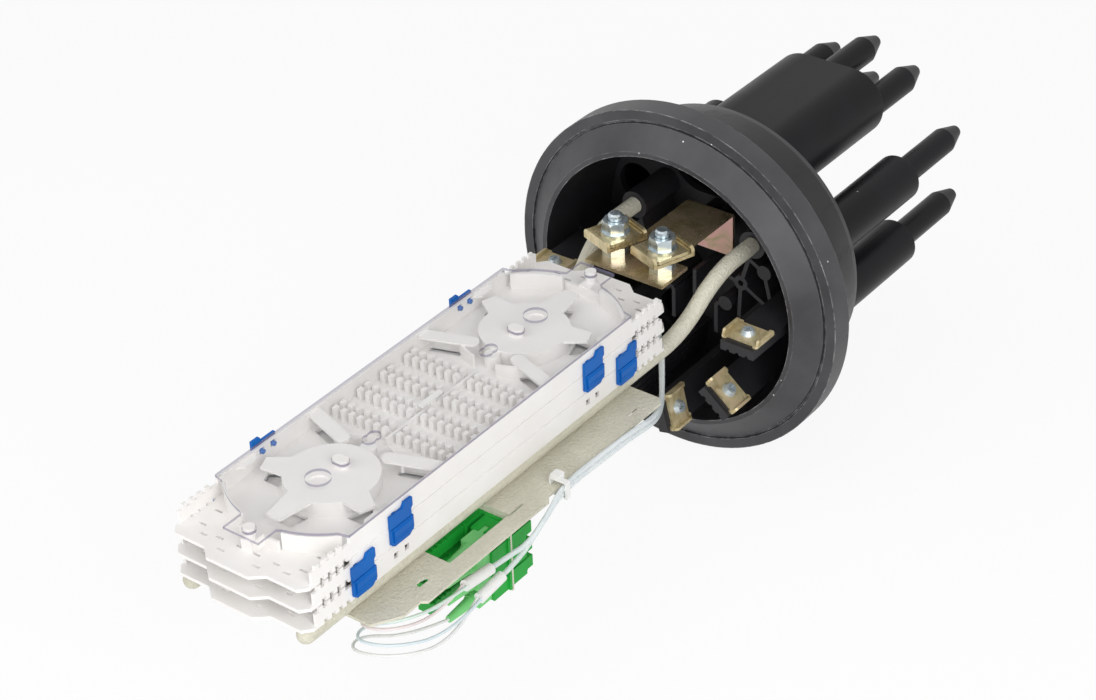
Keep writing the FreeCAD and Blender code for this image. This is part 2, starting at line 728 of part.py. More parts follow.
# One tray moulding, in bodies that meet face to face
def tray(top_z, hole_places):
    inner_v = tray_half_width - tray_wall
    bodies = [comb_floor()]
    bay = box(tray_middle_half, tray_bay_half, -inner_v, inner_v, 0, tray_floor)
    bodies += [less(shape, floor_openings()) for shape in (bay, mirrored_x(bay))]
    platform = tray_platform(hole_places)
    bodies += [platform, mirrored_x(platform)]

    seam_depth, seam_height = tray_seam
    for side in (-1, 1):
        wall_v = sorted((side * tray_half_width, side * inner_v))
        wall = box(-tray_bay_half, tray_bay_half, wall_v[0], wall_v[1], 0, tray_pitch)
        groove_v = sorted((side * (tray_half_width - seam_depth), side * (tray_half_width + 1)))
        groove = box(-tray_bay_half - 1, tray_bay_half + 1, groove_v[0], groove_v[1],
                     -1, seam_height)
        bodies.append(less(wall, [groove] + link_holes(hole_places, side)))

    round_top = along_z(0, 0, tray_floor, drum_height, drum_r)
    hollow = along_z(0, 0, 0, drum_height - drum_skin, drum_r - drum_skin)
    dish = along_z(cover_window_u - drum_u, 0, drum_height - dish_depth, drum_height + 1,
                   cover_window_r - 0.6)
    at_drum = [less(round_top, [hollow, dish]),
               capsule(post_u - drum_u, post_half_span, post_r, drum_height, min(top_z, post_top))]
    for turn, reach in arm_turns:
        flat = arm(turn, reach, drum_r - 2, 0, drum_height - arm_sheet, drum_height)
        at_drum.append(less(flat, [round_top]))
    for side in (-1, 1):
        beyond = sorted((side * inner_v, side * (inner_v + 9)))
        trim = box(-90, 90, beyond[0], beyond[1], 0, tray_pitch)
        root = (finger_root[0], side * finger_root[1])
        tip = (finger_tip[0], side * finger_tip[1])
        at_drum.append(less(blade(root, tip, finger_half, finger_z[0], finger_z[1]), [trim]))
        u = ledge_u - drum_u
        ledge = [(u - ledge_root_half, side * inner_v), (u + ledge_root_half, side * inner_v),
                 (u + ledge_tip_half, side * ledge_v), (u - ledge_tip_half, side * ledge_v)]
        at_drum.append(slab(ledge, finger_z[0], finger_z[1]))
    for turn in (guard_start, -guard_start - guard_sweep):
        at_drum.append(arc_wall(0, guard_r[0], guard_r[1], turn, guard_sweep, tray_floor,
                                tray_pitch - 0.6))
    at_drum.append(along_z(knob_u - drum_u, 0, block_height, min(top_z, knob_top), knob_r))
    return Part.makeCompound(bodies + at_both_drums(at_drum))


def link_holes(places, side):
    middle = tray_pitch / 2 + (link_far_rise if side < 0 else 0)
    wall_v = sorted((side * (tray_half_width + 1), side * (tray_half_width - tray_wall - 1)))
    holes = []
    for u in places:
        for hole_u in (u - link_pin_half_pitch, u + link_pin_half_pitch):
            holes.append(box(hole_u - link_hole_half, hole_u + link_hole_half, wall_v[0], wall_v[1],
                             middle - link_hole_half, middle + link_hole_half))
    return holes


post_top = tray_pitch + cover_sheet + 0.8
knob_top = tray_pitch + cover_sheet + 1.2
upper_links = [-link_upper_u, link_upper_u]
lower_links = [-link_lower_u, link_lower_u]
trays = {"bottom": (tray_pitch - 0.3, upper_links + lower_links),
         "middle": (tray_pitch - 0.3, upper_links + lower_links), "top": (knob_top, upper_links)}
for index, (name, (top_z, hole_places)) in enumerate(trays.items()):
    placed = tray(top_z, hole_places)
    placed.translate(V(tray_x, 0, tray_bottom_z + index * tray_pitch))
    keep("tray_" + name, placed)

# Clear cover over the top tray
cover_z = tray_bottom_z + 3 * tray_pitch
end_arc = []
for k in range(8):
    angle = math.radians(49 - 5 * k)
    end_arc.append((drum_u + guard_r[1] * math.cos(angle), guard_r[1] * math.sin(angle)))
cover_half = [(tray_bay_half, tray_half_width)] + end_arc[1:]
cover_half += [(tray_end_wall_u - 0.5, cover_lug_half), (cover_lug_u, cover_lug_half)]
quarter = cover_half
near_side = quarter + [(u, -v) for u, v in reversed(quarter)]
cover_points = near_side + [(-u, -v) for u, v in near_side]
cover = slab(cover_points, cover_z, cover_z + cover_sheet)
cover_cuts = []
for end in (-1, 1):
    cover_cuts.append(capsule(end * post_u, post_half_span, post_r + 0.5, cover_z - 1, cover_z + 3))
    for u, r in ((knob_u, knob_r + 0.5), (cover_window_u, cover_window_r)):
        cover_cuts.append(along_z(end * u, 0, cover_z - 1, cover_z + 3, r))
    for shift in (-2.0, 2.0):
        cover_cuts.append(along_z(end * cover_slot_u + shift, 0, cover_z - 1, cover_z + 3, 3.5))
cover = less(cover, cover_cuts)
cover.translate(V(tray_x, 0, 0))
keep("tray_cover", cover)

# Links that tie each tray to the one below; those on the far side sit higher, with a taller head
def link(head):
    half = link_width / 2
    top = link_top + head
    low = -link_bottom
    points = [(-half, top), (-half + 5.5, top), (-half + 7, top - 2.6), (half, top - 2.6),
              (half, low + 1.5), (half - 2, low), (-half + 3.5, low), (-half, low + 3),
              (-half, -0.5), (-half + 1.2, 0.5), (-half + 1.2, 4), (-half, 5)]
    face = outline([(u, 0, w) for u, w in points])
    body = face.extrude(V(0, link_sheet, 0))
    pins = []
    for u in (-link_pin_half_pitch, link_pin_half_pitch):
        for w in (-tray_pitch / 2, tray_pitch / 2):
            pins.append(Part.makeCylinder(link_pin_r, 3.4, V(u, 0.1, w), V(0, -1, 0)))
    score = box(-half - 1, half + 1, link_sheet - 0.5, link_sheet + 1, -0.5, 0.4)
    return less(fused(body, pins), [score])


for level, u in (("lower", link_lower_u), ("upper", link_upper_u)):
    seam_z = tray_bottom_z + tray_pitch * (1 if level == "lower" else 2)
    for end, x in (("rear", tray_x - u), ("front", tray_x + u)):
        near_link = link(0)
        near_link.translate(V(x, tray_half_width + link_gap, seam_z))
        keep("link_%s_%s_near" % (level, end), near_link)
        far_link = link(link_far_head)
        far_link.rotate(V(0, 0, 0), V(0, 0, 1), 180)
        far_link.translate(V(x, -tray_half_width - link_gap, seam_z + link_far_rise))
        keep("link_%s_%s_far" % (level, end), far_link)

# Adapter panel under the rods, its tongue folded down at the window
panel_top_z = rod_tray_z - rod_r
panel_low_z = panel_top_z - panel_sheet
panel_points = [
    (panel_rear_x, panel_far_y), (panel_front_x, panel_far_y),
    (panel_front_x, panel_near_y - panel_front_bevel[1]),
    (panel_front_x - panel_front_bevel[0], panel_near_y),
    (panel_wide_x[1] + panel_wide_run[1], panel_near_y), (panel_wide_x[1], panel_wide_y),
    (panel_wide_x[0], panel_wide_y), (panel_wide_x[0] - panel_wide_run[0], panel_near_y),
    (panel_rear_x + panel_rear_bevel, panel_near_y),
    (panel_rear_x, panel_near_y - panel_rear_bevel)]
panel = slab(panel_points, panel_low_z, panel_top_z)
tongue_x = window_x[0] - panel_sheet
tongue_z = panel_low_z - (window_x[1] - window_x[0])
tongue = box(tongue_x, window_x[0], window_y[0], window_y[1], tongue_z, panel_top_z)
below_z = panel_low_z - 2
above_z = panel_top_z + 2
openings = [
    box(window_x[0], window_x[1], window_y[0], window_y[1], below_z, above_z),
    box(window_x[0] - relief_length, window_x[0] + 1, window_y[1] - 0.5, window_y[1] + 1,
        panel_low_z - 1.5, above_z),
    box(tie_x - tie_half - tie_slot_play, tie_x + tie_half + tie_slot_play,
        tie_y[0] - tie_slot_play / 2, tie_y[0] + tie_sheet + 0.5, below_z, above_z)]
for x0, x1, y0, y1 in panel_slots:
    openings.append(box(x0, x1, y0, y1, below_z, above_z))
for y in adapter_columns:
    for z in adapter_rows:
        openings.append(box(tongue_x - 2, window_x[0] + 2, y - adapter_half_y - 0.15,
                            y + adapter_half_y + 0.15, z - adapter_half_z - 0.15,
                            z + adapter_half_z + 0.15))
keep("adapter_panel", less(fused(panel, [tongue]), openings))

# Fibre adapters, their dust caps and the plugs in the near column
face_x = window_x[0]
caps = []
for column, y in zip(("near", "far"), adapter_columns):
    for row, z in enumerate(adapter_rows):
        flange_y, flange_z, flange_x = adapter_flange
        body = box(face_x - adapter_half_length, face_x + adapter_half_length,
                   y - adapter_half_y, y + adapter_half_y, z - adapter_half_z, z + adapter_half_z)
        rim = box(face_x, face_x + flange_x, y - flange_y, y + flange_y, z - flange_z, z + flange_z)
        socket_y, socket_z, depth = adapter_socket
        socket = box(face_x + adapter_half_length - depth, face_x + adapter_half_length + 1,
                     y - socket_y, y + socket_y, z - socket_z, z + socket_z)
        key = box(face_x + 8, face_x + adapter_half_length + 1, y - 1.6, y + 1.6,
                  z + socket_z - 0.5, z + adapter_half_z + 1)
        keep("adapter_%s_%d" % (column, row + 1), less(fused(body, [rim]), [socket, key]))
        rear_x = face_x - adapter_half_length
        cap_y, cap_z = cap_half
        cap = box(rear_x - cap_sheet, rear_x, y - cap_y, y + cap_y, z - cap_z, z + cap_z)
        tab = box(rear_x - cap_reach, rear_x - cap_sheet, y + cap_tab_y, y + cap_y,
                  z - cap_tab_half_z, z + cap_tab_half_z)
        caps.append(fused(cap, [tab]))
socket_floor_x = face_x + adapter_half_length - adapter_socket[2]
for z in adapter_rows:
    y = adapter_columns[1]
    stopper = box(socket_floor_x, dust_plug_x, y - plug_half[0], y + plug_half[0],
                  z - plug_half[1], z + plug_half[1])
    grips = []
    for k in range(grip_count):
        x = dust_plug_x - grip_first - grip_pitch * k
        grips.append(box(x, x + grip_width, y - adapter_half_y, y + adapter_half_y,
                         z + plug_half[1] - grip_depth, z + adapter_half_y))
    caps.append(less(stopper, grips))
keep("adapter_caps", Part.makeCompound(caps))

for row, z in enumerate(adapter_rows):
    y = adapter_columns[0]
    plug_y, plug_z = plug_half
    plug = box(socket_floor_x, plug_body_x, y - plug_y, y + plug_y, z - plug_z, z + plug_z)
    collar_x = plug_body_x + plug_collar[0]
    collar = along_x(plug_body_x, collar_x, y, z, plug_collar[1])
    boot = taper_x(collar_x, boot_r[0], boot_end_x, boot_r[1], y, z)
    keep("plug_%d" % (row + 1), fused(plug, [collar, boot]))

# Buffer tubes from the trays, tied to the panel edge, ending in furcation sleeves
tube_routes = {
    "a": [(88, 24.5, 25.9), (58.5, 26.0, 27.5), (53, 28.5, -1.0), (72, 42.0, -9.0),
          (90, 54.0, -7.0), (108, 62.6, -3.5), (128, 62.7, -0.6), (156, 62.4, 0.6),
          (188, 62.4, 1.2), (204, 66.4, -3.0), (222, 66.5, -11.5), (236, 62.9, -13.1),
          (247, 62.0, -13.0)],
    "b": [(84, 19.5, 25.9), (55, 21.5, 27.0), (49.5, 25.0, -3.0), (69, 39.5, -12.5),
          (88, 53.0, -11.0), (107, 62.4, -7.0), (128, 62.5, -4.0), (156, 62.4, -2.8),
          (188, 62.4, -1.9), (208, 64.0, -9.0), (224, 63.0, -20.0), (238.7, 62.0, -23.0)]}
sleeve_ends = {"a": (267.0, 62.0, -10.5), "b": (257.0, 62.0, -25.0)}
for name, route in tube_routes.items():
    keep("buffer_tube_" + name, bent(route, tube_r))
    start = V(*route[-1])
    reach = V(*sleeve_ends[name]) - start
    keep("sleeve_" + name, Part.makeCylinder(sleeve_r, reach.Length, start, reach))

tie = less(box(tie_x - tie_half, tie_x + tie_half, tie_y[0], tie_y[1], tie_z[0], tie_z[1]),
           [box(tie_x - 2 * tie_half, tie_x + 2 * tie_half, tie_y[0] + tie_sheet, tie_y[1] - tie_sheet,
                tie_z[0] + tie_sheet, tie_z[1] - tie_sheet)])
head = box(tie_x - tie_head_half, tie_x + tie_head_half, tie_head_y[0], tie_head_y[1],
           tie_z[1], tie_z[1] + tie_head_height)
keep("cable_tie", fused(tie, [head]))

# Pigtails from the sleeves round the front of the panel to the plug boots
boot_y = adapter_columns[0]
pigtail_routes = [
    [(267, 63.2, -10.5), (286, 62, -10.0), (306, 57, -8.0), (318, 45, -7.5), (308, 34, -8.0),
     (287, 40, -9.0), (boot_end_x, boot_y, adapter_rows[0])],
    [(267, 60.8, -10.5), (287, 62, -15.0), (310, 54, -13.0), (318, 38, -13.0), (306, 32, -15.0),
     (286, 42, -19.0), (boot_end_x, boot_y, adapter_rows[1])],
    [(257, 63.2, -25.0), (284, 65, -28.0), (312, 54, -22.0), (320, 36, -21.0), (306, 29, -24.0),
     (286, 41, -29.5), (boot_end_x, boot_y, adapter_rows[2])],
    [(257, 60.8, -25.0), (282, 66, -33.0), (312, 57, -27.0), (324, 36, -25.0), (308, 27, -30.0),
     (286, 40, -39.5), (boot_end_x, boot_y, adapter_rows[3])]]
for index, route in enumerate(pigtail_routes):
    keep("pigtail_%d" % (index + 1), bent(route, pigtail_r))
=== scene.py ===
import bmesh
import bpy
import math
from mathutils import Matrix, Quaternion, Vector


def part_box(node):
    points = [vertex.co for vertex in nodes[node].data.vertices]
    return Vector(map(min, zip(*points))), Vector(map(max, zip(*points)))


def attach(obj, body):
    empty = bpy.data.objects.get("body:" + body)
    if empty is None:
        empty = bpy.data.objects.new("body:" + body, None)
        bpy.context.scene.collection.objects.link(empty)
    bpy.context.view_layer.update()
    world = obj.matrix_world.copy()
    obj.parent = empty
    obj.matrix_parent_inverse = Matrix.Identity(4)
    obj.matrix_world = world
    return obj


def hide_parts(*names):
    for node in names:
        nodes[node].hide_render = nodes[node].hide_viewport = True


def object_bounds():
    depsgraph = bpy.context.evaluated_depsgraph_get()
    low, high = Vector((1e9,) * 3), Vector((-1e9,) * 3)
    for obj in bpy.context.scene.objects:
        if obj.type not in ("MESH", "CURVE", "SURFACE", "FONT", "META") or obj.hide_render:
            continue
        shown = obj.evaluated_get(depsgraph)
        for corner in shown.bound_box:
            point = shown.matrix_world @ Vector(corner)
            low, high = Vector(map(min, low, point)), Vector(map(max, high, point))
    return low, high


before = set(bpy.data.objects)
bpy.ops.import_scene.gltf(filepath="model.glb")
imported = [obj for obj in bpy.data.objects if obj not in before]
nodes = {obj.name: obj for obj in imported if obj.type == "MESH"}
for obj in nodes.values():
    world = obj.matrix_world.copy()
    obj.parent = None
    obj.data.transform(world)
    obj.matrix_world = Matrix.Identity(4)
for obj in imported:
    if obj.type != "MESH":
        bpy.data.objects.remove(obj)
cadLow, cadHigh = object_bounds()
print("frame loaded:", len(nodes), "pieces")

scene = bpy.context.scene
scene.view_settings.view_transform = "Standard"
perMetre = 1000                          # millimetres in a metre


# colours are noted as they look on screen, 0 to 255
def paint(red, green, blue):
    def linear(value):
        share = value / 255
        return share / 12.92 if share <= 0.04045 else ((share + 0.055) / 1.055) ** 2.4
    return (linear(red), linear(green), linear(blue), 1.0)


# camera where the photographer stood
photoCamera = {
    "sensorWidth": 36, "lens": 86.93,    # millimetres
    "nearest": 0.05, "farthest": 20,
    "place": (1.0248, 0.7153, 0.7887),
    "aim": (0.0594, -0.0447, -0.0286),
    "roll": -2.33,                       # degrees
}
cameraData = bpy.data.cameras.new("photoCamera")
cameraData.sensor_width = photoCamera["sensorWidth"]
cameraData.lens = photoCamera["lens"]
cameraData.clip_start = photoCamera["nearest"]
cameraData.clip_end = photoCamera["farthest"]
camera = bpy.data.objects.new("photoCamera", cameraData)
scene.collection.objects.link(camera)
lookAlong = Vector(photoCamera["aim"]) - Vector(photoCamera["place"])
camera.location = photoCamera["place"]
camera.rotation_mode = "QUATERNION"
camera.rotation_quaternion = (lookAlong.to_track_quat("-Z", "Y")
                              @ Quaternion((0, 0, 1), math.radians(photoCamera["roll"])))
scene.camera = camera
print("camera set")


# shader helpers: an input is a value or the socket that feeds it
def addNode(tree, kind, inputs, **settings):
    node = tree.nodes.new(kind)
    for name, value in settings.items():
        setattr(node, name, value)
    for name, value in inputs.items():
        if isinstance(value, bpy.types.NodeSocket):
            tree.links.new(value, node.inputs[name])
        else:
            node.inputs[name].default_value = value
    return node


def newGroup(name, inputs, outputs):
    tree = bpy.data.node_groups.new(name, "ShaderNodeTree")
    for label, value in inputs.items():
        socket = tree.interface.new_socket(label, in_out="INPUT", socket_type="NodeSocketFloat")
        socket.default_value = value
    for label in outputs:
        tree.interface.new_socket(label, in_out="OUTPUT", socket_type="NodeSocketFloat")
    start = tree.nodes.new("NodeGroupInput")
    end = tree.nodes.new("NodeGroupOutput")
    return tree, start.outputs, end.inputs


def placeGroup(tree, group, inputs):
    return addNode(tree, "ShaderNodeGroup", inputs, node_tree=group).outputs


def combine(tree, operation, first, second):
    node = addNode(tree, "ShaderNodeMath", {0: first, 1: second}, operation=operation)
    return node.outputs[0]


def remap(tree, value, fromLow, fromHigh, toLow=0.0, toHigh=1.0):
    node = addNode(tree, "ShaderNodeMapRange",
                   {"Value": value, "From Min": fromLow, "From Max": fromHigh,
                    "To Min": toLow, "To Max": toHigh})
    return node.outputs[0]


# most of a noise lies between these two values
noiseLow = 0.3
noiseHigh = 0.7


def spread(tree, value, low, high):
    return remap(tree, value, noiseLow, noiseHigh, low, high)


def mixColour(tree, share, first, second):
    mix = addNode(tree, "ShaderNodeMix", {0: share, 6: first, 7: second}, data_type="RGBA")
    return mix.outputs[2]


def objectPlace(tree):
    return addNode(tree, "ShaderNodeTexCoord", {}).outputs["Object"]


def addNoise(tree, place, scale, look):
    noise = addNode(tree, "ShaderNodeTexNoise", {"Vector": place, "Scale": scale, **look})
    return noise.outputs["Fac"]


def addBump(tree, shader, height, strength, distance):
    bump = addNode(tree, "ShaderNodeBump",
                   {"Height": height, "Strength": strength, "Distance": distance})
    tree.links.new(bump.outputs[0], shader.inputs["Normal"])


# fine surface grain: a height for the bump and a slow mottle
def makeGrainGroup():
    tree, start, end = newGroup("surfaceGrain", {"Fine": 900.0, "Slow": 30.0},
                                ["Height", "Mottle"])
    place = objectPlace(tree)
    fine = addNoise(tree, place, start["Fine"], {"Detail": 3.0, "Roughness": 0.6})
    slow = addNoise(tree, place, start["Slow"], {"Detail": 4.0, "Roughness": 0.55})
    tree.links.new(fine, end["Height"])
    tree.links.new(slow, end["Mottle"])
    return tree


# rubbed edges: how far a rounded normal leaves the true one, broken up by noise
def makeRubGroup():
    tree, start, end = newGroup("edgeRub", {"Width": 0.0008, "Patchy": 180.0, "Amount": 1.0},
                                ["Mask"])
    rounded = addNode(tree, "ShaderNodeBevel", {"Radius": start["Width"]}, samples=6)
    true = addNode(tree, "ShaderNodeNewGeometry", {})
    turn = addNode(tree, "ShaderNodeVectorMath",
                   {0: rounded.outputs["Normal"], 1: true.outputs["Normal"]},
                   operation="DOT_PRODUCT")
    edge = remap(tree, turn.outputs["Value"], fromLow=0.985, fromHigh=0.80)
    patch = addNoise(tree, objectPlace(tree), start["Patchy"], {"Detail": 5.0, "Roughness": 0.7})
    kept = remap(tree, patch, fromLow=0.42, fromHigh=0.62)
    broken = combine(tree, "MULTIPLY", edge, kept)
    tree.links.new(combine(tree, "MULTIPLY", broken, start["Amount"]), end["Mask"])
    return tree


# small pale specks of dust, in a share of the cells
def makeSpeckGroup():
    tree, start, end = newGroup("dustSpecks", {"Spacing": 160.0, "Size": 0.09, "Share": 0.25},
                                ["Mask"])
    cells = addNode(tree, "ShaderNodeTexVoronoi",
                    {"Vector": objectPlace(tree), "Scale": start["Spacing"]})
    near = combine(tree, "LESS_THAN", cells.outputs["Distance"], start["Size"])
    draw = addNode(tree, "ShaderNodeSeparateColor", {"Color": cells.outputs["Color"]})
    chosen = combine(tree, "LESS_THAN", draw.outputs[0], start["Share"])
    tree.links.new(combine(tree, "MULTIPLY", near, chosen), end["Mask"])
    return tree


# faint hairline scratches along X
def makeScratchGroup():
    tree, start, end = newGroup("hairScratches", {"Fine": 60.0, "Stretch": 0.06}, ["Mask"])
    squeeze = addNode(tree, "ShaderNodeCombineXYZ", {"X": start["Stretch"], "Y": 1.0, "Z": 1.0})
    thin = addNode(tree, "ShaderNodeVectorMath", {0: objectPlace(tree), 1: squeeze.outputs[0]},
                   operation="MULTIPLY")
    streak = addNoise(tree, thin.outputs[0], start["Fine"], {"Detail": 8.0, "Roughness": 0.75})
    tree.links.new(remap(tree, streak, fromLow=0.56, fromHigh=0.72), end["Mask"])
    return tree


grainGroup = makeGrainGroup()
rubGroup = makeRubGroup()
speckGroup = makeSpeckGroup()
scratchGroup = makeScratchGroup()
print("shader groups made")


def newFinish(name):
    finish = bpy.data.materials.new(name)
    finish.use_nodes = True
    tree = finish.node_tree
    return finish, tree, tree.nodes["Principled BSDF"]


# roughness from the mottle, raised where the surface is scratched
def scoreSurface(tree, shader, mottle, look, scratches, gain):
    satin = spread(tree, mottle, look["roughLow"], look["roughHigh"])
    scored = combine(tree, "MULTIPLY", scratches, gain)
    tree.links.new(combine(tree, "ADD", satin, scored), shader.inputs["Roughness"])


# black moulded base: dusty satin on the nose and flange, darker and smoother behind them,
# and plain inside the cup
satinBlack = {
    "dark": paint(38, 37, 40), "lighter": paint(68, 67, 70), "rubbed": paint(176, 176, 178),
    "dust": paint(222, 222, 222), "dustShare": 0.34, "rub": 0.95,
    "roughLow": 0.38, "roughHigh": 0.52, "sheen": 0.5,
}
deepBlack = {
    "dark": paint(10, 9, 11), "lighter": paint(19, 18, 22), "rubbed": paint(96, 96, 98),
    "dust": paint(170, 170, 170), "dustShare": 0.08, "rub": 0.4,
    "roughLow": 0.32, "roughHigh": 0.44, "sheen": 0.15,
}
cupBlack = {
    "dark": paint(26, 25, 28), "lighter": paint(40, 39, 42), "rubbed": paint(96, 96, 98),
    "dust": paint(190, 190, 190), "dustShare": 0.12, "rub": 0.0,
    "roughLow": 0.40, "roughHigh": 0.52, "sheen": 0.4,
}


def makeBlackFinish(name, look):
    finish, tree, shader = newFinish(name)
    grain = placeGroup(tree, grainGroup, {"Fine": 700.0, "Slow": 24.0})
    rub = placeGroup(tree, rubGroup, {"Width": 0.0011, "Patchy": 150.0, "Amount": look["rub"]})
    specks = placeGroup(tree, speckGroup,
                        {"Spacing": 120.0, "Size": 0.055, "Share": look["dustShare"]})
    scratches = placeGroup(tree, scratchGroup, {"Fine": 90.0, "Stretch": 0.08})
    tone = mixColour(tree, spread(tree, grain["Mottle"], 0.0, 1.0), look["dark"], look["lighter"])
    worn = mixColour(tree, rub["Mask"], tone, look["rubbed"])
    dusty = mixColour(tree, specks["Mask"], worn, look["dust"])
    tree.links.new(dusty, shader.inputs["Base Color"])
    scoreSurface(tree, shader, grain["Mottle"], look, scratches["Mask"], gain=0.12)
    shader.inputs["Specular IOR Level"].default_value = look["sheen"]
    addBump(tree, shader, grain["Height"], strength=0.12, distance=0.0002)
    return finish


# beige powder coat with its fine orange peel
powderCoat = {
    "pale": paint(220, 217, 200), "shade": paint(204, 201, 184), "pit": paint(170, 164, 145),
    "pitShare": 0.22, "peel": 560.0, "roughLow": 0.48, "roughHigh": 0.62,
}


def makePowderFinish(name, look):
    finish, tree, shader = newFinish(name)
    grain = placeGroup(tree, grainGroup, {"Fine": look["peel"], "Slow": 45.0})
    tone = mixColour(tree, spread(tree, grain["Mottle"], 0.0, 1.0), look["shade"], look["pale"])
    pitted = mixColour(tree, spread(tree, grain["Height"], look["pitShare"], 0.0),
                       tone, look["pit"])
    tree.links.new(pitted, shader.inputs["Base Color"])
    rough = spread(tree, grain["Height"], look["roughHigh"], look["roughLow"])
    tree.links.new(rough, shader.inputs["Roughness"])
    addBump(tree, shader, grain["Height"], strength=0.9, distance=0.0011)
    return finish


# yellow zinc: gold with drifting olive, brown and pink, where a share below zero is none
yellowZinc = {
    "gold": paint(222, 206, 158), "olive": paint(198, 194, 150), "brown": paint(176, 154, 116),
    "pink": paint(232, 182, 174), "rubbed": paint(224, 216, 190),
    "bandsPerDrift": 1.7, "brownLeast": -0.4, "pinkLeast": -0.2,
}
stripLook = {"drift": 40.0, "pinkShare": 0.45, "metal": 0.76, "roughLow": 0.22, "roughHigh": 0.34}
legLook = {"drift": 30.0, "pinkShare": 2.2, "metal": 0.12, "roughLow": 0.26, "roughHigh": 0.40}
clampLook = {"drift": 75.0, "pinkShare": 0.3, "metal": 0.74, "roughLow": 0.20, "roughHigh": 0.32}
plateLook = {"drift": 75.0, "pinkShare": 0.3, "metal": 0.32, "roughLow": 0.28, "roughHigh": 0.42}


def makeZincFinish(name, look):
    finish, tree, shader = newFinish(name)
    grain = placeGroup(tree, grainGroup, {"Fine": 1200.0, "Slow": look["drift"]})
    scratches = placeGroup(tree, scratchGroup, {"Fine": 240.0, "Stretch": 0.15})
    rub = placeGroup(tree, rubGroup, {"Width": 0.0005, "Patchy": 400.0, "Amount": 0.6})
    bands = addNoise(tree, objectPlace(tree), look["drift"] * yellowZinc["bandsPerDrift"],
                     {"Detail": 2.0, "Distortion": 1.2})
    first = mixColour(tree, spread(tree, grain["Mottle"], 0.0, 1.0),
                      yellowZinc["gold"], yellowZinc["olive"])
    second = mixColour(tree, spread(tree, bands, yellowZinc["brownLeast"], 1.0),
                       first, yellowZinc["brown"])
    tinted = mixColour(tree, spread(tree, bands, look["pinkShare"], yellowZinc["pinkLeast"]),
                       second, yellowZinc["pink"])
    worn = mixColour(tree, rub["Mask"], tinted, yellowZinc["rubbed"])
    tree.links.new(worn, shader.inputs["Base Color"])
    shader.inputs["Metallic"].default_value = look["metal"]
    scoreSurface(tree, shader, grain["Mottle"], look, scratches["Mask"], gain=0.10)
    addBump(tree, shader, grain["Height"], strength=0.08, distance=0.0001)
    return finish


# bright blue-white zinc on nuts, studs and screws
brightZinc = {
    "pale": paint(206, 216, 220), "shade": paint(172, 183, 190), "rubbed": paint(240, 244, 246),
    "roughLow": 0.18, "roughHigh": 0.32, "nutMetal": 0.82, "screwMetal": 0.4,
}


def makeBrightFinish(name, look, metal):
    finish, tree, shader = newFinish(name)
    grain = placeGroup(tree, grainGroup, {"Fine": 1500.0, "Slow": 160.0})
    rub = placeGroup(tree, rubGroup, {"Width": 0.0004, "Patchy": 500.0, "Amount": 0.5})
    tone = mixColour(tree, spread(tree, grain["Mottle"], 0.0, 1.0), look["shade"], look["pale"])
    worn = mixColour(tree, rub["Mask"], tone, look["rubbed"])
    tree.links.new(worn, shader.inputs["Base Color"])
    shader.inputs["Metallic"].default_value = metal
    rough = spread(tree, grain["Mottle"], look["roughLow"], look["roughHigh"])
    tree.links.new(rough, shader.inputs["Roughness"])
    addBump(tree, shader, grain["Height"], strength=0.06, distance=0.0001)
    return finish


# moulded plastics: white, blue and green share one recipe
trayWhite = {
    "tone": paint(241, 239, 237), "shade": paint(234, 231, 228), "edge": paint(247, 246, 245),
    "rub": 0.4, "roughLow": 0.40, "roughHigh": 0.52, "sheen": 0.5,
}
nylonWhite = {
    "tone": paint(236, 236, 234), "shade": paint(226, 226, 223), "edge": paint(246, 246, 244),
    "rub": 0.3, "roughLow": 0.34, "roughHigh": 0.46, "sheen": 0.5,
}
linkBlue = {
    "tone": paint(0, 99, 184), "shade": paint(0, 88, 170), "edge": paint(46, 126, 204),
    "rub": 0.5, "roughLow": 0.36, "roughHigh": 0.48, "sheen": 0.22,
}
adapterGreen = {
    "tone": paint(32, 166, 60), "shade": paint(24, 150, 50), "edge": paint(96, 196, 110),
    "rub": 0.4, "roughLow": 0.38, "roughHigh": 0.50, "sheen": 0.25,
}
# the boots' own pale green, painted lighter still: painted light that lifts them out of the shade
# they sit in
bootGreenPaintedLighter = {
    "tone": paint(128, 212, 132), "shade": paint(112, 198, 118), "edge": paint(156, 222, 158),
    "rub": 0.3, "roughLow": 0.44, "roughHigh": 0.58, "sheen": 0.4,
}


def makeMouldedFinish(name, look):
    finish, tree, shader = newFinish(name)
    grain = placeGroup(tree, grainGroup, {"Fine": 1100.0, "Slow": 38.0})
    rub = placeGroup(tree, rubGroup, {"Width": 0.0005, "Patchy": 260.0, "Amount": look["rub"]})
    base = mixColour(tree, spread(tree, grain["Mottle"], 0.0, 1.0), look["shade"], look["tone"])
    worn = mixColour(tree, rub["Mask"], base, look["edge"])
    tree.links.new(worn, shader.inputs["Base Color"])
    rough = spread(tree, grain["Mottle"], look["roughLow"], look["roughHigh"])
    tree.links.new(rough, shader.inputs["Roughness"])
    shader.inputs["Specular IOR Level"].default_value = look["sheen"]
    addBump(tree, shader, grain["Height"], strength=0.06, distance=0.0001)
    return finish


# clear cover sheet, with its violet cut edge
sheetFace = {
    "tone": paint(236, 238, 242), "alpha": 0.06, "roughLow": 0.06, "roughHigh": 0.14, "sheen": 0.6,
}
sheetEdge = {
    "tone": paint(112, 104, 138), "alpha": 0.55, "roughLow": 0.10, "roughHigh": 0.22, "sheen": 0.6,
}


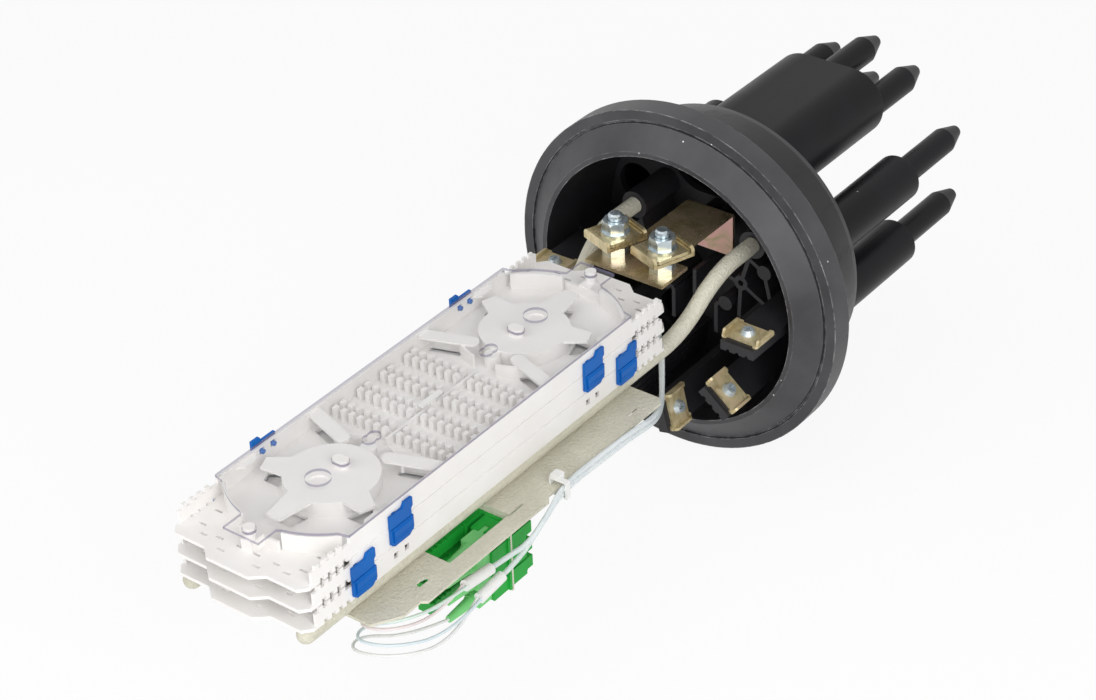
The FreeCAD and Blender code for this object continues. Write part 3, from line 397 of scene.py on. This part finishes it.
def makeClearFinish(name, look):
    finish, tree, shader = newFinish(name)
    grain = placeGroup(tree, grainGroup, {"Fine": 500.0, "Slow": 20.0})
    shader.inputs["Base Color"].default_value = look["tone"]
    shader.inputs["Alpha"].default_value = look["alpha"]
    rough = spread(tree, grain["Mottle"], look["roughLow"], look["roughHigh"])
    tree.links.new(rough, shader.inputs["Roughness"])
    shader.inputs["Specular IOR Level"].default_value = look["sheen"]
    return finish


# translucent tube and fibre skins
clearTube = {"tone": paint(238, 243, 244), "shade": paint(224, 232, 234), "alpha": 0.7}
blueFibre = {"tone": paint(222, 234, 238), "shade": paint(206, 222, 228), "alpha": 0.9}
pinkFibre = {"tone": paint(238, 228, 228), "shade": paint(226, 212, 214), "alpha": 0.9}
greenFibre = {"tone": paint(224, 238, 230), "shade": paint(208, 226, 216), "alpha": 0.9}
plainFibre = {"tone": paint(238, 238, 236), "shade": paint(224, 226, 224), "alpha": 0.9}
tubeRough = {"low": 0.22, "high": 0.34}


def makeTubeFinish(name, look):
    finish, tree, shader = newFinish(name)
    grain = placeGroup(tree, grainGroup, {"Fine": 900.0, "Slow": 60.0})
    base = mixColour(tree, spread(tree, grain["Mottle"], 0.0, 1.0), look["shade"], look["tone"])
    tree.links.new(base, shader.inputs["Base Color"])
    rough = spread(tree, grain["Mottle"], tubeRough["low"], tubeRough["high"])
    tree.links.new(rough, shader.inputs["Roughness"])
    shader.inputs["Alpha"].default_value = look["alpha"]
    return finish


satinFinish = makeBlackFinish("satinBlackMoulding", satinBlack)
deepFinish = makeBlackFinish("deepBlackMoulding", deepBlack)
cupFinish = makeBlackFinish("cupBlackMoulding", cupBlack)
powderFinish = makePowderFinish("beigePowderCoat", powderCoat)
stripZinc = makeZincFinish("yellowZincStrip", stripLook)
legZinc = makeZincFinish("rosyZincLeg", legLook)
clampZinc = makeZincFinish("yellowZincClamp", clampLook)
plateZinc = makeZincFinish("yellowZincPlate", plateLook)
nutFinish = makeBrightFinish("brightZincNut", brightZinc, brightZinc["nutMetal"])
screwFinish = makeBrightFinish("brightZincScrew", brightZinc, brightZinc["screwMetal"])
trayFinish = makeMouldedFinish("whiteTrayPlastic", trayWhite)
softWhite = makeMouldedFinish("whiteNylon", nylonWhite)
linkFinish = makeMouldedFinish("blueLinkPlastic", linkBlue)
adapterFinish = makeMouldedFinish("greenAdapterPlastic", adapterGreen)
bootFinishPaintedLighter = makeMouldedFinish("greenBootRubberPaintedLighter", bootGreenPaintedLighter)
coverFace = makeClearFinish("clearCoverFace", sheetFace)
coverEdge = makeClearFinish("clearCoverEdge", sheetEdge)
tubeFinish = makeTubeFinish("clearBufferTube", clearTube)
blueFinish = makeTubeFinish("blueWhiteFibre", blueFibre)
pinkFinish = makeTubeFinish("pinkWhiteFibre", pinkFibre)
greenFinish = makeTubeFinish("greenWhiteFibre", greenFibre)
plainFinish = makeTubeFinish("plainWhiteFibre", plainFibre)
print("finishes made")


def dress(name, *finishes):
    mesh = nodes[name].data
    mesh.materials.clear()
    for finish in finishes:
        mesh.materials.append(finish)
    return mesh


# finish of every piece whose name starts so, a later line over an earlier one
finishByName = {
    "round_ports": deepFinish, "oval_port": deepFinish,
    "base_plate": cupFinish, "base_webs": cupFinish, "clamp_posts": cupFinish,
    "rod_": powderFinish, "adapter_panel": powderFinish,
    "bracket_screws": screwFinish,
    "clamp_stud_": nutFinish, "clamp_nut_": nutFinish,
    "clamp_channel_": clampZinc, "clamp_plate_": clampZinc,
    "yarn_clamp_": plateZinc,
    "yarn_clamp_screws": screwFinish,
    "tray_": trayFinish,
    "link_": linkFinish,
    "adapter_near_": adapterFinish, "adapter_far_": adapterFinish, "adapter_caps": adapterFinish,
    "plug_": bootFinishPaintedLighter,
    "sleeve_": softWhite, "cable_tie": softWhite,
}
for start, finish in finishByName.items():
    for name in nodes:
        if name.startswith(start):
            dress(name, finish)

# base moulding: where its finishes change, millimetres
housingZones = {"cupRadius": 81.8, "noseRear": -15.5}
slopeLimit = 0.5                         # a face along the axis has less of X in its normal
housingMesh = dress("base_housing", satinFinish, deepFinish, cupFinish)
for face in housingMesh.polygons:
    middle = face.center * perMetre
    insideCup = math.hypot(middle.y, middle.z) < housingZones["cupRadius"]
    if insideCup and abs(face.normal.x) < slopeLimit:
        face.material_index = 2          # inner wall of the cup
    else:
        face.material_index = 0 if middle.x > housingZones["noseRear"] else 1

# the bracket's rosy leg and the cover's sheet faces look along one axis
squareOn = 0.7
bracketMesh = dress("strength_bracket", stripZinc, legZinc)
for face in bracketMesh.polygons:
    face.material_index = 1 if face.normal.x > squareOn and face.center.x < 0 else 0
coverMesh = dress("tray_cover", coverFace, coverEdge)
for face in coverMesh.polygons:
    face.material_index = 0 if abs(face.normal.z) > squareOn else 1
print("pieces dressed")

# finger pad on the lower half of each link, millimetres
linkPad = {
    "halfWidth": 6.8,
    "seamRise": 10.6,                    # from the link's lower edge up to the seam of the trays
    # rise from the seam and depth from the link's face, round the section
    "profile": [(-0.7, -0.1), (-2.0, 0.9), (-5.2, 0.9), (-5.5, 0.55), (-5.8, 0.9), (-6.6, 0.9),
                (-6.9, 0.55), (-7.2, 0.9), (-7.9, 0.9), (-8.4, 0.4), (-8.4, -0.1)],
}


def addLinkPad(linkName):
    low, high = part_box(linkName)
    side = 1 if linkName.endswith("near") else -1
    outerY = high[1] if side > 0 else low[1]
    middleX = (low[0] + high[0]) / 2
    seamZ = low[2] + linkPad["seamRise"] / perMetre
    shape = bmesh.new()
    rings = []
    for end in (-1, 1):
        x = middleX + end * linkPad["halfWidth"] / perMetre
        rings.append([shape.verts.new((x, outerY + side * depth / perMetre,
                                       seamZ + rise / perMetre))
                      for rise, depth in linkPad["profile"]])
        shape.faces.new(rings[-1])
    count = len(linkPad["profile"])
    for k in range(count):
        after = (k + 1) % count
        shape.faces.new((rings[0][k], rings[0][after], rings[1][after], rings[1][k]))
    bmesh.ops.recalc_face_normals(shape, faces=shape.faces)
    padMesh = bpy.data.meshes.new(linkName + "_pad")
    shape.to_mesh(padMesh)
    shape.free()
    padMesh.materials.append(linkFinish)
    pad = bpy.data.objects.new(linkName + "_pad", padMesh)
    scene.collection.objects.link(pad)
    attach(pad, linkName + "_body")


for name in list(nodes):
    if name.startswith("link_"):
        addLinkPad(name)
print("finger pads added")

# tubes and fibres, millimetres along each route
tubeWidth = 2.8
fibreWidth = 1.6
cordRoutes = {
    "buffer_tube_a": {
        "width": tubeWidth, "stiffness": "medium", "finish": tubeFinish,
        "route": [(88, 24.5, 25.9), (58.5, 26.0, 27.5), (53, 28.5, -1.0), (72, 42.0, -9.0),
                  (90, 54.0, -7.0), (108, 62.6, -3.5), (128, 62.7, -0.6), (156, 62.4, 0.6),
                  (188, 62.4, 1.2), (204, 66.4, -3.0), (222, 66.5, -11.5), (236, 62.9, -13.1),
                  (247, 62.0, -13.0)]},
    "buffer_tube_b": {
        "width": tubeWidth, "stiffness": "medium", "finish": tubeFinish,
        "route": [(84, 19.5, 25.9), (55, 21.5, 27.0), (49.5, 25.0, -3.0), (69, 39.5, -12.5),
                  (88, 53.0, -11.0), (107, 62.4, -7.0), (128, 62.5, -4.0), (156, 62.4, -2.8),
                  (188, 62.4, -1.9), (208, 64.0, -9.0), (224, 63.0, -20.0), (238.7, 62.0, -23.0)]},
    "pigtail_1": {
        "width": fibreWidth, "stiffness": "limp", "finish": greenFinish,
        "route": [(267, 63.2, -10.5), (286, 62, -10.0), (306, 57, -8.0), (318, 45, -7.5),
                  (308, 34, -8.0), (287, 40, -9.0), (263, 46.5, -9.3)]},
    "pigtail_2": {
        "width": fibreWidth, "stiffness": "limp", "finish": pinkFinish,
        "route": [(267, 60.8, -10.5), (287, 62, -15.0), (310, 54, -13.0), (318, 38, -13.0),
                  (306, 32, -15.0), (286, 42, -19.0), (263, 46.5, -20.0)]},
    "pigtail_3": {
        "width": fibreWidth, "stiffness": "limp", "finish": blueFinish,
        "route": [(257, 63.2, -25.0), (284, 65, -28.0), (312, 54, -22.0), (320, 36, -21.0),
                  (306, 29, -24.0), (286, 41, -29.5), (263, 46.5, -30.7)]},
    "pigtail_4": {
        "width": fibreWidth, "stiffness": "limp", "finish": plainFinish,
        "route": [(257, 60.8, -25.0), (282, 66, -33.0), (312, 57, -27.0), (324, 36, -25.0),
                  (308, 27, -30.0), (286, 40, -39.5), (263, 46.5, -41.4)]},
}


def layCord(name, facts):
    width = facts["width"] / perMetre
    points = [Vector(p) / perMetre for p in facts["route"]]
    curve = bpy.data.curves.new(name + "_line", "CURVE")
    curve.dimensions = "3D"
    curve.bevel_depth = width / 2
    curve.bevel_resolution = 5
    curve.resolution_u = 12
    curve.use_fill_caps = True
    spline = curve.splines.new("NURBS")
    spline.points.add(len(points) - 1)
    for slot, point in zip(spline.points, points):
        slot.co = (*point, 1.0)
    spline.order_u = 3
    spline.use_endpoint_u = True
    curve.materials.append(facts["finish"])
    cord = bpy.data.objects.new(name + "_cord", curve)
    scene.collection.objects.link(cord)
    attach(cord, "closure")
    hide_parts(name)
    bpy.context.view_layer.update()


for name, facts in cordRoutes.items():
    layCord(name, facts)

# pale floor just under the part
floorLook = {"size": 12.0, "drop": 0.001, "tone": paint(250, 250, 250), "rough": 0.9, "glow": 0.9}
half = floorLook["size"] / 2
floorZ = cadLow.z - floorLook["drop"]
floorMesh = bpy.data.meshes.new("paleFloor")
floorMesh.from_pydata([(-half, -half, floorZ), (half, -half, floorZ), (half, half, floorZ),
                       (-half, half, floorZ)], [], [(0, 1, 2, 3)])
floor = bpy.data.objects.new("paleFloor", floorMesh)
scene.collection.objects.link(floor)


# one for rays that show a surface to the camera, also through or in another, else zero
def seenShare(tree):
    path = tree.nodes.new("ShaderNodeLightPath").outputs
    direct = combine(tree, "MAXIMUM", path["Is Camera Ray"], path["Is Glossy Ray"])
    return combine(tree, "MAXIMUM", direct, path["Is Transmission Ray"])


pureWhite = (1, 1, 1, 1)
floorFinish, floorTree, floorShader = newFinish("paleFloorPaint")
floorShader.inputs["Base Color"].default_value = floorLook["tone"]
floorShader.inputs["Roughness"].default_value = floorLook["rough"]
floorShader.inputs["Specular IOR Level"].default_value = 0.0
glow = addNode(floorTree, "ShaderNodeEmission", {"Color": pureWhite, "Strength": 1.0})
glowShare = combine(floorTree, "MULTIPLY", seenShare(floorTree), floorLook["glow"])
floorMix = addNode(floorTree, "ShaderNodeMixShader",
                   {0: glowShare, 1: floorShader.outputs[0], 2: glow.outputs[0]})
floorTree.links.new(floorMix.outputs[0], floorTree.nodes["Material Output"].inputs["Surface"])
floorMesh.materials.append(floorFinish)

# white surroundings that give less light than they show
ambient = 0.33
world = bpy.data.worlds.new("paleStudio")
scene.world = world
world.use_nodes = True
worldTree = world.node_tree
soft = worldTree.nodes["Background"]
soft.inputs["Color"].default_value = pureWhite
soft.inputs["Strength"].default_value = ambient
white = addNode(worldTree, "ShaderNodeBackground", {"Color": pureWhite, "Strength": 1.0})
worldMix = addNode(worldTree, "ShaderNodeMixShader",
                   {0: seenShare(worldTree), 1: soft.outputs[0], 2: white.outputs[0]})
worldTree.links.new(worldMix.outputs[0], worldTree.nodes["World Output"].inputs["Surface"])

# soft round lamps, metres and watts, all turned to one point of the part
lampAim = (0.12, 0, 0)
lamps = {
    "keyLamp": {"place": (0.85, 1.25, 0.85), "width": 1.1, "power": 14.0},
    "fillLamp": {"place": (1.3, -0.6, 0.8), "width": 1.2, "power": 6.0},
    "topLamp": {"place": (0.3, -0.1, 1.7), "width": 1.4, "power": 5.0},
    "frontLamp": {"place": (1.35, 0.55, 0.3), "width": 0.9, "power": 3.6},
}
for name, facts in lamps.items():
    lamp = bpy.data.lights.new(name, "AREA")
    lamp.shape = "DISK"
    lamp.size = facts["width"]
    lamp.energy = facts["power"]
    holder = bpy.data.objects.new(name, lamp)
    holder.location = facts["place"]
    holder.rotation_mode = "QUATERNION"
    shine = Vector(lampAim) - Vector(facts["place"])
    holder.rotation_quaternion = shine.to_track_quat("-Z", "Y")
    scene.collection.objects.link(holder)
print("studio lit")
